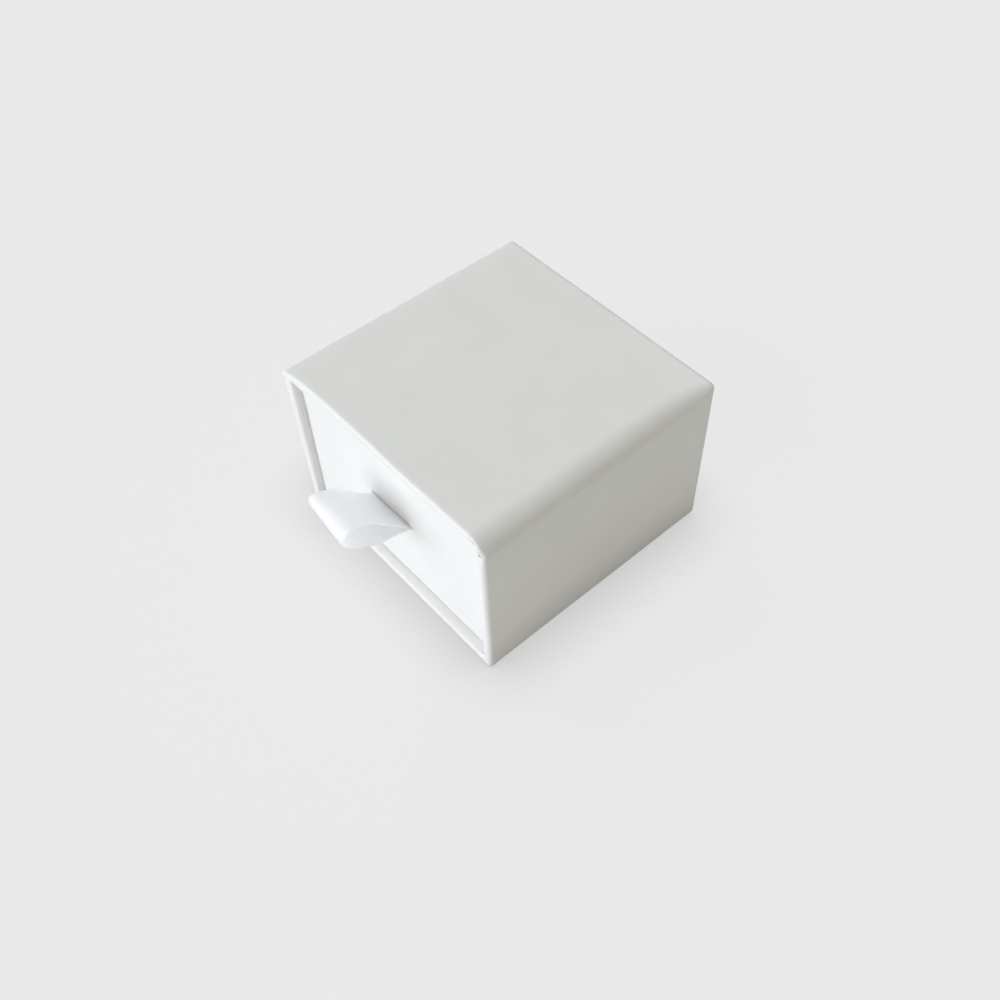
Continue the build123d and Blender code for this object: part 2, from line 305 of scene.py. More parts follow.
def settle(piece, low, high, moves, inside):
    """Put a block a little out of true: each corner moves by millimetres, and the rest follows evenly.

    A corner is named by its ends along the three axes: 0 for the low end and 1 for the high one.
    What lies inside the mouth follows it forwards and back, and a third as far to the sides."""
    size = high - low
    for vertex in points(piece):
        share = [clamp((vertex.co[i] - low[i]) / size[i]) for i in range(3)]
        for corner, move in moves.items():
            weight = math.prod(share[i] if corner[i] else 1 - share[i] for i in range(3))
            vertex.co += Vector((move[0] / 3, move[1], 0) if inside(vertex.co) else move) * weight * MM


def slice_faces(piece, axis, stops, test):
    """Cut the faces that pass a test square to an axis, at each stop along it."""
    for stop in stops:
        pick(piece, "FACE", test)
        bpy.ops.mesh.bisect(plane_co=axis * stop, plane_no=axis)


def steps(low, high, step):
    """Evenly spaced stops strictly between two ends, about a step apart."""
    count = max(1, round((high - low) / step))
    return [low + (high - low) * i / count for i in range(1, count)]


def cut_opening(piece, axis, level, sides):
    """Cut the face that lies across an axis into a frame, and take out the middle.

    Each side is an axis of the face and the two stops between which the opening lies."""

    def end_face(face):
        return near(middle(face).dot(axis), level) and abs(face.normal.dot(axis)) > 0.99

    for side, stops in sides:
        slice_faces(piece, side, stops, end_face)

    def in_opening(face):
        return end_face(face) and all(between(middle(face).dot(side), stops, 0) for side, stops in sides)

    remove_faces(piece, in_opening)
    pick(piece, "EDGE", lambda e: near(middle(e).dot(axis), level) and e.is_boundary)


def face_outwards():
    """Turn all faces of the piece that is being edited outwards, and leave editing."""
    bpy.ops.mesh.select_all(action="SELECT")
    bpy.ops.mesh.normals_make_consistent(inside=False)
    bpy.ops.object.mode_set(mode="OBJECT")


def finish_shell(piece, thickness, angle=40):
    """Give a paper or cloth skin its thickness, inwards, and smooth it."""
    bpy.ops.mesh.select_all(action="SELECT")
    bpy.ops.mesh.remove_doubles(threshold=0.002 * MM)
    face_outwards()
    skin = piece.modifiers.new("thickness", "SOLIDIFY")
    skin.thickness, skin.offset = thickness, -1
    bpy.ops.object.modifier_apply(modifier=skin.name)
    bpy.ops.object.shade_smooth_by_angle(angle=math.radians(angle))


def stray(piece, amount, size):
    """Let a skin's points wander a little, all together over a patch of this size."""
    shifts = (ACROSS * 31, ALONG * 17, UP * 23)
    for vertex in points(piece):
        spot = vertex.co / size
        vertex.co += amount * Vector([noise.noise(spot + shift) for shift in shifts])


# How far the sleeve's corners stand from a true block, in millimetres: its mouth is a little splayed.
SLEEVE_SETTLING = {
    (0, 0, 1): (-0.50, -0.60, 0.00),
    (0, 0, 0): (-0.50, 0.05, 0.00),
    (1, 0, 1): (0.00, -0.20, 0.00),
    (1, 0, 0): (0.35, 0.05, 0.00),
    (1, 1, 0): (0.20, 0.00, 0.00),
}

# Where the sleeve's cover is cut across, in millimetres from the mouth and from the back.
MOUTH_CUTS = (1.4, 1.8, 2.2, 2.7, 3.3, 4.0)
BACK_CUTS = (6.0, 4.8, 3.8, 3.0, 2.3, 1.7, 1.2)

# The fold starts as a round edge. Shares of its turn go to the fold's shoulder, flat and edge.
FOLD_SEGMENTS = 20
FOLD_ROUND = 2.4 * MM
FOLD_REACH = 4.9 * MM
SHOULDER_SHARE, FLAT_SHARE, EDGE_SHARE = 0.6, 0.15, 0.25

# How far back the top's front edge stands, in millimetres, at each millimetre along it from the left.
FRONT_EDGE = (
    (0, -0.45), (1.5, -0.10), (4, 0.20), (9, 0.35), (15, 0.45),
    (27, 0.42), (33, 0.24), (39, 0.20), (45, 0.30), (56, 0.35),
)


def fold_size(shoulder, slope, flat, edge):
    """How far in and how far down a fold of this section reaches."""
    reach = shoulder * math.sin(slope) + flat * math.cos(slope) + edge * (1 - math.sin(slope))
    drop = shoulder * (1 - math.cos(slope)) + flat * math.sin(slope) + edge * math.cos(slope)
    return reach, drop


def fold_point(share, inset, shoulder, slope, flat, edge):
    """A point on the fold, in from the side and down from the top: a shoulder, a flat and an edge."""
    reach, drop = fold_size(shoulder, slope, flat, edge)
    tilt = slope * clamp(share / SHOULDER_SHARE)
    edge_start = 1 - EDGE_SHARE
    if share < edge_start:
        run = flat * max(0, (share - SHOULDER_SHARE) / FLAT_SHARE)
        place = Vector((
            reach - shoulder * math.sin(tilt) - run * math.cos(slope),
            shoulder * (1 - math.cos(tilt)) + run * math.sin(slope),
        ))
    else:
        tilt = slope + (math.pi / 2 - slope) * min(1, (share - edge_start) / EDGE_SHARE)
        place = Vector((edge * (1 - math.sin(tilt)), drop - edge * math.cos(tilt)))
    return place + inset * Vector((math.sin(tilt), math.cos(tilt)))


def shape_fold(cover, sizes):
    """Press the round upper right edge into its fold, which is tight at the back and widens to the front."""
    hub = Vector((SLEEVE_HIGH.x - FOLD_ROUND, 0, SLEEVE_HIGH.z - FOLD_ROUND))
    front = Vector((sizes.shoulder_front, sizes.slope_front, sizes.flat_front))
    back = Vector((sizes.shoulder_back, sizes.slope_back, sizes.flat_back))
    for vertex in points(cover):
        arm = Vector((vertex.co.x - hub.x, vertex.co.z - hub.z))
        inset = FOLD_ROUND - arm.length
        if arm.x < -0.01 * MM or arm.y < -0.01 * MM or inset > max(sizes.rim, sizes.back) + 0.02 * MM:
            continue
        narrow = math.exp((vertex.co.y - SLEEVE_HIGH.y) / sizes.widening)
        share = math.atan2(arm.x, arm.y) / (math.pi / 2)
        inward, down = fold_point(share, max(0, inset), *front.lerp(back, narrow), sizes.fold_edge)
        vertex.co.x, vertex.co.z = SLEEVE_HIGH.x - inward, SLEEVE_HIGH.z - down


def model_sleeve(sizes):
    """The sleeve's cover: a block with soft folds on the right, opened at the mouth and turned in."""
    low, high = SLEEVE_LOW, SLEEVE_HIGH
    cover = new_block("sleeve_cover", low, high)
    for x, z, radius, segments in (
        (high.x, high.z, FOLD_ROUND, FOLD_SEGMENTS),
        (high.x, low.z, sizes.foot, 8),
        (low.x, high.z, sizes.seam, 5),
        (low.x, low.z, sizes.seam, 5),
    ):
        round_edges(
            cover, radius, segments,
            lambda e: lies_along(e, ALONG) and near(middle(e).x, x) and near(middle(e).z, z),
        )
    for end, radius in ((low.y, sizes.rim), (high.y, sizes.back)):
        round_edges(cover, radius, 5, lambda e: borders_wall(e, ALONG, end))

    wide = (low.x + sizes.wall, high.x - sizes.wall)
    tall = (low.z + sizes.wall, high.z - sizes.wall)
    cut_opening(cover, ALONG, low.y, ((ACROSS, wide), (UP, tall)))
    bpy.ops.mesh.extrude_region_move(TRANSFORM_OT_translate={"value": ALONG * sizes.turn_in})

    def inside(point, spare=HAIR):
        return between(point.x, wide, spare) and between(point.z, tall, spare)

    def in_lip(point):
        return inside(point, sizes.lip + HAIR)

    def under_fold(edge):
        return near(middle(edge).x, wide[1], 0.2 * MM) and near(middle(edge).z, tall[1], 0.2 * MM)

    round_edges(cover, sizes.inner_fold, 6, lambda e: lies_along(e, ALONG) and under_fold(e))
    round_edges(
        cover, sizes.inner, 4,
        lambda e: lies_along(e, ALONG) and inside(middle(e)) and near(e.calc_face_angle(0), math.pi / 2, 0.1),
    )
    round_edges(cover, sizes.lip, 3, lambda e: inside(middle(e)) and borders_wall(e, ALONG, low.y))

    def skin(face):
        spot = middle(face)
        in_mouth = spot.y < low.y + sizes.lip and in_lip(spot)
        return not in_mouth and not inside(spot) and face.normal.y > -0.95

    slice_faces(cover, ALONG, [low.y + d * MM for d in MOUTH_CUTS], skin)
    slice_faces(cover, ALONG, steps(low.y + MOUTH_CUTS[-1] * MM, high.y - BACK_CUTS[0] * MM, 2.0 * MM), skin)
    slice_faces(cover, ALONG, [high.y - d * MM for d in BACK_CUTS], skin)
    shape_fold(cover, sizes)
    soften_rim(cover, sizes)
    fold_start = high.x - FOLD_REACH
    slice_faces(cover, ACROSS, [*steps(low.x + 1.2 * MM, fold_start, 2.4 * MM), fold_start], skin)
    slice_faces(cover, UP, steps(low.z + 2.2 * MM, high.z - 3.2 * MM, 2.4 * MM), skin)
    ruffle_fold(cover, sizes)
    stray(cover, sizes.uneven, 16 * MM)
    settle(cover, low, high, SLEEVE_SETTLING, in_lip)
    waver_edge(cover)
    finish_shell(cover, sizes.paper)
    return cover


def waver_edge(cover):
    """Let the top's front edge waver, as a hand-cut edge does."""
    for vertex in points(cover):
        across = min(FRONT_EDGE[-1][0] - 0.01, max(0, (vertex.co.x - SLEEVE_LOW.x) / MM))
        pairs = zip(FRONT_EDGE, FRONT_EDGE[1:])
        (start, first), (end, last) = next(pair for pair in pairs if across < pair[1][0])
        set_back = first + (last - first) * (across - start) / (end - start)
        along = 1 - (vertex.co.y - SLEEVE_LOW.y) / (12 * MM)
        up = (vertex.co.z - SLEEVE_HIGH.z + 5.0 * MM) / (3.2 * MM)
        vertex.co.y += set_back * MM * clamp(along) * clamp(up)


def soften_rim(cover, sizes):
    """Wear the mouth's edge softer down the right wall, from below the fold to just above the foot."""
    low, high, radius = SLEEVE_LOW, SLEEVE_HIGH, sizes.soft_rim
    inset = [sizes.rim + (radius - sizes.rim) * i / 4 for i in range(1, 5)]
    slice_faces(
        cover, ACROSS, [high.x - d for d in inset],
        lambda f: near(middle(f).y, low.y) and middle(f).x > high.x - sizes.wall + sizes.lip,
    )
    slice_faces(cover, ALONG, [low.y + d for d in inset], lambda f: f.normal.x > 0.95)
    ends = [low.z + d * MM for d in (1.2, 1.7, 2.2)] + [high.z - d * MM for d in (6.2, 5.2, 4.2, 3.3)]
    slice_faces(cover, UP, ends, lambda f: middle(f).x > high.x - sizes.wall + sizes.lip and middle(f).y < 0)
    for vertex in points(cover):
        arm = Vector((vertex.co.x - high.x + radius, vertex.co.y - low.y - radius))
        if arm.x > 0 and arm.y < 0 and arm.length > radius:
            above_foot = (vertex.co.z - low.z - 0.7 * MM) / (1.5 * MM)
            below_fold = (high.z - 3.1 * MM - vertex.co.z) / (3 * MM)
            pull = clamp(min(above_foot, below_fold)) * (1 - radius / arm.length)
            vertex.co.x -= arm.x * pull
            vertex.co.y -= arm.y * pull


def ruffle_fold(cover, sizes):
    """Let the paper stand up in places along the upper right fold, and crumple it at the mouth's corner."""
    corner = Vector((SLEEVE_HIGH.x - 0.9 * MM, SLEEVE_LOW.y, SLEEVE_HIGH.z - 0.9 * MM))
    mesh = bmesh.from_edit_mesh(cover.data)
    mesh.normal_update()
    moves = []
    for vertex in mesh.verts:
        lean = min(max(0, vertex.normal.x), max(0, vertex.normal.z))
        in_fold = vertex.co.x > SLEEVE_HIGH.x - 5 * MM and vertex.co.z > SLEEVE_HIGH.z - 3 * MM
        rise = sizes.ripple * lean * max(0, noise.noise(vertex.co / (5 * MM))) if in_fold else 0
        away = (vertex.co - corner).length / (1.8 * MM)
        creases = max(-0.3, noise.noise(vertex.co / (0.8 * MM) + ALONG * 7))
        rise += sizes.crumple * math.exp(-away**2) * creases
        moves.append(rise)
    for vertex, rise in zip(mesh.verts, moves):
        vertex.co += vertex.normal * rise
    bmesh.update_edit_mesh(cover.data)


def model_drawer(sizes):
    """The drawer's cover: a block opened at the top, turned down inside, with a slit in its front."""
    low, high = DRAWER_LOW, DRAWER_HIGH
    cover = new_block("drawer_cover", low, high)
    round_edges(cover, sizes.edge, 4, lambda e: lies_along(e, UP))
    for end, radius in ((low.z, sizes.foot), (high.z, sizes.rim)):
        round_edges(cover, radius, 5, lambda e: borders_wall(e, UP, end))
    wide = (low.x + sizes.wall, high.x - sizes.wall)
    deep = (low.y + sizes.wall, high.y - sizes.wall)
    cut_opening(cover, UP, high.z, ((ACROSS, wide), (ALONG, deep)))
    bpy.ops.mesh.extrude_region_move(TRANSFORM_OT_translate={"value": UP * (TRAY_FLOOR - high.z)})

    def inside(point):
        return between(point.x, wide, HAIR) and between(point.y, deep, HAIR)

    round_edges(cover, sizes.inner, 4, lambda e: lies_along(e, UP) and inside(middle(e)))
    round_edges(cover, sizes.lip, 3, lambda e: inside(middle(e)) and borders_wall(e, UP, high.z))

    def front_wall(face):
        place = middle(face)
        return abs(face.normal.y) > 0.9 and place.y < low.y + 1.1 * sizes.wall

    half_width, half_height = sizes.slit_width / 2, sizes.slit_height / 2
    for gap in (0, 1.2 * MM, 3 * MM, 6 * MM):
        for side in (-1, 1):
            slice_faces(cover, ACROSS, [PULL_ROOT.x + side * (half_width + gap)], front_wall)
            slice_faces(cover, UP, [PULL_ROOT.z + side * (half_height + gap)], front_wall)

    def in_slit(point, spare):
        return (
            abs(point.x - PULL_ROOT.x) < half_width + spare
            and abs(point.z - PULL_ROOT.z) < half_height + spare
        )

    remove_faces(cover, lambda f: front_wall(f) and in_slit(middle(f), 0))
    pick(cover, "EDGE", lambda e: e.is_boundary and in_slit(middle(e), 0.1 * MM))
    bpy.ops.mesh.bridge_edge_loops()

    def slit_corner(edge):
        place = middle(edge)
        at_end = near(abs(place.x - PULL_ROOT.x), half_width)
        return lies_along(edge, ALONG) and at_end and in_slit(place, 0.1 * MM)

    round_edges(cover, 0.4 * MM, 3, slit_corner)

    def slit_mouth(edge):
        ends = sorted(abs(f.normal.y) for f in edge.link_faces)
        return in_slit(middle(edge), HAIR) and len(ends) == 2 and ends[0] < 0.3 and ends[1] > 0.9

    round_edges(cover, sizes.slit_edge, 2, slit_mouth)

    def skin(face):
        return not inside(middle(face)) and abs(face.normal.z) < 0.9 and not in_slit(middle(face), 2 * MM)

    slice_faces(cover, UP, steps(low.z + 2 * MM, high.z - 2 * MM, 3.2 * MM), skin)
    slice_faces(cover, ACROSS, steps(low.x + 2 * MM, high.x - 2 * MM, 3.2 * MM), skin)
    stray(cover, sizes.uneven, 18 * MM)
    lean_drawer(cover, sizes)
    finish_shell(cover, sizes.paper)
    return cover


def lean_drawer(cover, sizes):
    """Let the drawer's left side stand over towards the sleeve, its upper front corner a little forward."""
    low, size = DRAWER_LOW, DRAWER_HIGH - DRAWER_LOW
    for vertex in points(cover):
        x, y, z = ((vertex.co[i] - low[i]) / size[i] for i in range(3))
        left = max(0, 1 - x) ** 3
        vertex.co.x -= sizes.lean_left * left
        vertex.co.y -= (sizes.stand_out + sizes.lean_out * max(0, z)) * left * max(0, 1 - y)


# The ribbon's line, seen from the side, in millimetres out from the drawer's front and up from the slit.
# It runs from the upper tail, through the slit, round the loop and back to the lower tail.
UPPER_TAIL = (
    (-2.40, 8.20), (-2.40, 5.00), (-2.40, 2.00), (-2.33, 0.75), (-1.95, 0.24), (-1.20, 0.14), (-0.40, 0.14),
)
LOWER_TAIL = tuple((out, -up) for out, up in reversed(UPPER_TAIL))
RIGHT_EDGE = (
    (-0.05, 0.25), (0.70, 0.95), (2.00, 2.30), (3.50, 3.75), (5.30, 5.80), (7.00, 7.70), (8.50, 8.90),
    (10.0, 9.80), (11.2, 10.4), (12.2, 10.75), (13.1, 10.82), (13.9, 10.4), (14.65, 9.70), (15.1, 9.00),
    (15.15, 8.40), (14.9, 7.70), (14.3, 6.70), (13.6, 5.85), (12.3, 4.60), (10.1, 3.10), (7.40, 1.80),
    (5.90, 1.30), (4.05, 0.90), (1.45, 0.20), (0.35, -0.03),
)
LEFT_EDGE = (
    (-0.05, 0.24), (0.70, 0.75), (2.00, 1.85), (3.40, 3.25), (5.00, 4.95), (6.50, 6.70), (7.90, 8.05),
    (9.50, 9.20), (10.9, 9.95), (12.0, 10.35), (12.9, 10.65), (13.55, 10.55), (13.95, 10.0), (14.1, 9.20),
    (14.0, 8.50), (13.7, 7.70), (13.1, 6.70), (12.5, 5.85), (11.3, 4.60), (9.40, 3.10), (7.00, 1.80),
    (5.60, 1.30), (3.80, 0.90), (1.45, 0.20), (0.35, -0.03),
)
RIBBON_ROWS = 420
RIBBON_COLUMNS = 20


def smooth_line(points, count):
    """Points evenly spaced along a smooth line through the given ones, and the line's length."""
    points = [Vector(p) for p in points]
    points = [2 * points[0] - points[1], *points, 2 * points[-1] - points[-2]]
    fine = []
    for before, start, end, after in zip(points, points[1:], points[2:], points[3:]):
        legs = ((before, start), (start, end), (end, after))
        first, second, third = (max((b - a).length, 1e-6) ** 0.5 for a, b in legs)
        leave = (start - before) / first - (end - before) / (first + second) + (end - start) / second
        arrive = (end - start) / second - (after - start) / (second + third) + (after - end) / third
        leave, arrive = leave * second, arrive * second
        for i in range(24):
            t = i / 24
            fine.append(
                start * (2 * t**3 - 3 * t**2 + 1)
                + leave * (t**3 - 2 * t**2 + t)
                + end * (3 * t**2 - 2 * t**3)
                + arrive * (t**3 - t**2)
            )
    fine.append(points[-2])
    run = [0.0]
    for a, b in zip(fine, fine[1:]):
        run.append(run[-1] + (b - a).length)
    line, place = [], 0
    for i in range(count):
        goal = run[-1] * i / (count - 1)
        while place < len(run) - 2 and run[place + 1] < goal:
            place += 1
        share = (goal - run[place]) / max(run[place + 1] - run[place], 1e-9)
        line.append(fine[place].lerp(fine[place + 1], min(1, share)))
    return line, run[-1]


def model_ribbon(sizes):
    """The ribbon: a flat strip cut to length, then laid through the slit and round the loop."""
    left, left_run = smooth_line((*UPPER_TAIL, *LEFT_EDGE, *LOWER_TAIL), RIBBON_ROWS + 1)
    right, right_run = smooth_line((*UPPER_TAIL, *RIGHT_EDGE, *LOWER_TAIL), RIBBON_ROWS + 1)
    cut = (left_run + right_run) / 2 * MM
    bpy.ops.object.select_all(action="DESELECT")
    bpy.ops.mesh.primitive_grid_add(x_subdivisions=RIBBON_COLUMNS, y_subdivisions=RIBBON_ROWS, size=1)
    bpy.ops.transform.resize(value=(sizes.width, cut, 1))
    bpy.ops.object.transform_apply(location=True, rotation=True, scale=True)
    ribbon = bpy.context.object
    ribbon.name = ribbon.data.name = "pull_ribbon"
    for vertex in ribbon.data.vertices:
        across = vertex.co.x / sizes.width + 0.5
        row = round((vertex.co.y / cut + 0.5) * RIBBON_ROWS)
        point = left[row].lerp(right[row], across)
        vertex.co = (
            PULL_ROOT.x + (across - 0.5) * sizes.width,
            PULL_ROOT.y - point.x * MM,
            PULL_ROOT.z + point.y * MM,
        )
    skin = ribbon.modifiers.new("thickness", "SOLIDIFY")
    skin.thickness, skin.offset, skin.use_even_offset = sizes.thickness, 0, True
    bpy.ops.object.modifier_apply(modifier=skin.name)
    bpy.ops.object.mode_set(mode="EDIT")
    face_outwards()
    bpy.ops.object.shade_smooth_by_angle(angle=math.radians(50))
    return ribbon, cut


def model_roll(name, low, high, corner, top, crown):
    """A padded roll: a block with round upright corners and upper edges, its top swollen in a low crown."""
    roll = new_block(name, low, high)
    round_edges(roll, corner, 6, lambda e: lies_along(e, UP))
    round_edges(roll, top, 6, lambda e: borders_wall(e, UP, high.z))
    slice_faces(roll, ACROSS, steps(low.x + corner, high.x - corner, 2.5 * MM), lambda f: True)
    slice_faces(roll, ALONG, steps(low.y + corner, high.y - corner, 2.5 * MM), lambda f: True)
    for vertex in points(roll):
        u = (2 * vertex.co.x - low.x - high.x) / (high.x - low.x)
        v = (2 * vertex.co.y - low.y - high.y) / (high.y - low.y)
        if vertex.co.z > high.z - 2 * top:
            vertex.co.z += crown * max(0, 1 - u**4) * max(0, 1 - v**2)
    return roll


def copy_roll(middle_y):
    """Copy the whole roll and turn the copy round, so that it lies behind the first."""
    bpy.ops.mesh.select_all(action="SELECT")
    bpy.ops.mesh.duplicate()
    bpy.ops.transform.rotate(value=math.pi, orient_axis="Z", center_override=(0, middle_y, 0))


def model_foam(sizes):
    """Two foam rolls, front and back."""
    middle_y = (FOAM_LOW.y + FOAM_HIGH.y) / 2
    edge = middle_y - sizes.slit / 2 - sizes.velvet
    rolls = model_roll(
        "foam_rolls", FOAM_LOW, Vector((FOAM_HIGH.x, edge, FOAM_HIGH.z)),
        sizes.corner - sizes.velvet, sizes.top - sizes.velvet, sizes.crown,
    )
    copy_roll(middle_y)
    face_outwards()
    bpy.ops.object.shade_smooth_by_angle(angle=math.radians(40))
    return rolls


def model_velvet(sizes):
    """One velvet cover over both rolls, tucked down the slit between them."""
    middle_y = (VELVET_LOW.y + VELVET_HIGH.y) / 2
    lip = middle_y - sizes.slit / 2
    tuck = FOAM_LOW.z + sizes.velvet
    cover = model_roll(
        "velvet_cover", VELVET_LOW, Vector((VELVET_HIGH.x, lip, VELVET_HIGH.z)),
        sizes.corner, sizes.top, sizes.crown,
    )
    remove_faces(cover, lambda f: f.normal.z < -0.9)
    slice_faces(cover, UP, [tuck], lambda f: near(middle(f).y, lip))
    remove_faces(cover, lambda f: near(middle(f).y, lip) and middle(f).z < tuck)
    copy_roll(middle_y)

    def in_slit(edge):
        place = middle(edge)
        return edge.is_boundary and near(place.z, tuck) and near(abs(place.y - middle_y), sizes.slit / 2)

    pick(cover, "EDGE", in_slit)
    bpy.ops.mesh.bridge_edge_loops()
    finish_shell(cover, sizes.velvet, 60)
    return cover


class Wire:
    """A node's output, on which sums are written as Python expressions."""

    def __init__(self, finish, socket):
        self.finish = finish
        self.socket = socket

    def sum(self, operation, first, second):
        return self.finish.node("Math", {0: first, 1: second}, {"operation": operation})

    def __add__(self, other):
        return self.sum("ADD", self, other)

    def __radd__(self, other):
        return self.sum("ADD", other, self)

    def __sub__(self, other):
        return self.sum("SUBTRACT", self, other)

    def __rsub__(self, other):
        return self.sum("SUBTRACT", other, self)

    def __mul__(self, other):
        return self.sum("MULTIPLY", self, other)

    def __rmul__(self, other):
        return self.sum("MULTIPLY", other, self)

    def __truediv__(self, other):
        return self.sum("DIVIDE", self, other)

    def __rtruediv__(self, other):
        return self.sum("DIVIDE", other, self)

    def least(self, other):
        return self.sum("MINIMUM", self, other)


class Finish:
    """A material, or the world, whose nodes are added one call at a time."""

    def __init__(self, name, tree=None):
        self.material = None
        if tree is None:
            self.material = bpy.data.materials.new(name)
            self.material.use_nodes = True
            tree = self.material.node_tree
        self.tree = tree
        self.tree.nodes.clear()

    def node(self, kind, sockets=None, settings=None, output=0):
        """Add a shader node, fill or link its sockets, set it up, and return one of its outputs."""
        node = self.tree.nodes.new("ShaderNode" + kind)
        for name, value in (settings or {}).items():
            setattr(node, name, value)
        for name, value in (sockets or {}).items():
            if isinstance(value, Wire):
                self.tree.links.new(value.socket, node.inputs[name])
            else:
                node.inputs[name].default_value = value
        return Wire(self, node.outputs[output]) if len(node.outputs) else None

    def place(self):
        """Where a point lies on the object, in metres."""
        return self.node("TexCoord", output="Object")

    def noise(self, place, grains, detail, roughness=0.5):
        """Cloudy noise from 0 to 1, with this many grains to the metre."""
        return self.node(
            "TexNoise",
            {"Vector": place, "Scale": grains, "Detail": detail, "Roughness": roughness},
        )

    def stretch(self, place, scale):
        """The same place, with each axis scaled."""
        return self.node("Mapping", {"Vector": place, "Scale": scale})

    def spread(self, value, low, high, start=0.0, end=1.0):
        """A value between two ends, as a value between two others."""
        return self.node(
            "MapRange",
            {"Value": value, "From Min": low, "From Max": high, "To Min": start, "To Max": end},
            {"clamp": True},
        )

    def mix(self, share, first, second):
        """One colour shading into another."""
        return self.node(
            "Mix",
            {0: share, 6: first if isinstance(first, Wire) else (*first, 1),
             7: second if isinstance(second, Wire) else (*second, 1)},
            {"data_type": "RGBA"}, output=2,
        )

    def bump(self, height, depth, strength):
        """A normal that a height in metres roughens."""
        return self.node("Bump", {"Height": height, "Distance": depth, "Strength": strength})

    def surface(self, **sockets):
        """The surface itself, wired to the output."""
        named = {name.replace("_", " "): value for name, value in sockets.items()}
        shader = self.node("BsdfPrincipled", named)
        self.node("OutputMaterial", {"Surface": shader})
        return self.material


def heading(to_right, height):
    """The way to what stands so far round to the right of the front, and so high."""
    level = math.cos(height)
    return Vector((math.sin(to_right) * level, -math.cos(to_right) * level, math.sin(height)))


def shade(tone, amount):
    """A colour made lighter or darker."""
    return tuple(min(1.0, c * amount) for c in tone)


def painted_fold_and_foot_shade(finish, place, sizes):
    """How much of its brightness the sleeve's paper keeps on its right side under painted shade: a dark line along
    the fold's lower edge, a softer darkening over the side's upper part, and a painted shadow along the foot.
    """
    across, along, up = (
        finish.node("SeparateXYZ", {"Vector": place}, output=axis) for axis in "XYZ"
    )
    front = fold_size(sizes.shoulder_front, sizes.slope_front, sizes.flat_front, sizes.fold_edge)[1]
    back = fold_size(sizes.shoulder_back, sizes.slope_back, sizes.flat_back, sizes.fold_edge)[1]
    forward = (along - SLEEVE_HIGH.y) / sizes.widening
    narrow = finish.node("Math", {0: forward}, {"operation": "EXPONENT"})
    down = (SLEEVE_HIGH.z - up) / (front + (back - front) * narrow)
    # Painted shade: a dark line along the fold's lower edge, painted shade over the side's upper part, and a
    # painted shadow along the foot.
    painted_fold_line = finish.spread(down, 0.36, 0.67).least(finish.spread(down, 0.72, 1.24, 1.0, 0.0))
    painted_upper_side_shade = finish.spread(up, SLEEVE_HIGH.z - 14 * MM, SLEEVE_HIGH.z - 3 * MM)
    painted_foot_shadow = finish.spread(up, SLEEVE_LOW.z, SLEEVE_LOW.z + 9 * MM, 1.0, 0.0)
    on_side = finish.spread(across, SLEEVE_HIGH.x - 2.0 * MM, SLEEVE_HIGH.x - 1.0 * MM)
    return 1 - on_side * (0.08 * painted_fold_line + 0.035 * painted_upper_side_shade + 0.06 * painted_foot_shadow)


def paper_finish(name, tone, painted_shade=None):
    """Matt paper: faint clouds in the sheet, short fibres, and a dry, slightly uneven surface."""
    finish = Finish(name)
    place = finish.place()
    clouds = finish.noise(place, 90, 2)
    fibres = finish.noise(finish.stretch(place, (1, 0.35, 1)), 3200, 4, 0.65)
    grain = finish.noise(place, 7000, 2)
    mottle = finish.spread(0.7 * clouds + 0.3 * fibres, 0.35, 0.65)
    sheet = finish.mix(mottle, shade(tone, 0.985), shade(tone, 1.01))
    # Where given, painted shade darkens the sheet towards black.
    if painted_shade:
        sheet = finish.mix(painted_shade(finish, place), (0, 0, 0), sheet)
    return finish.surface(
        Base_Color=sheet,
        Roughness=finish.spread(fibres, 0.3, 0.7, 0.52, 0.64),
        Specular_IOR_Level=0.35,
        Normal=finish.bump(0.7 * fibres + 0.3 * grain, 0.02 * MM, 0.5),
    )


def board_finish(name, tone):
    """Grey board: pressed waste paper, with dark and light flecks."""
    finish = Finish(name)
    place = finish.place()
    pulp = finish.noise(place, 1400, 5, 0.7)
    flecks = finish.noise(finish.stretch(place, (1, 0.4, 1)), 5200, 2)
    speck = finish.spread(flecks, 0.62, 0.7)
    body = finish.mix(finish.spread(pulp, 0.3, 0.7), shade(tone, 0.85), shade(tone, 1.15))
    return finish.surface(
        Base_Color=finish.mix(speck, body, shade(tone, 0.55)),
        Roughness=finish.spread(pulp, 0.3, 0.7, 0.8, 0.95),
        Specular_IOR_Level=0.25,
        Normal=finish.bump(pulp, 0.06 * MM, 0.7),
    )


def tape_finish(name, tone):
    """Brown stay tape: smooth kraft paper with long fibres."""
    finish = Finish(name)
    place = finish.place()
    fibres = finish.noise(finish.stretch(place, (1, 1, 0.2)), 2600, 4, 0.6)
    return finish.surface(
        Base_Color=finish.mix(finish.spread(fibres, 0.3, 0.7), shade(tone, 0.86), shade(tone, 1.1)),
        Roughness=finish.spread(fibres, 0.3, 0.7, 0.5, 0.65),
        Normal=finish.bump(fibres, 0.02 * MM, 0.6),
    )


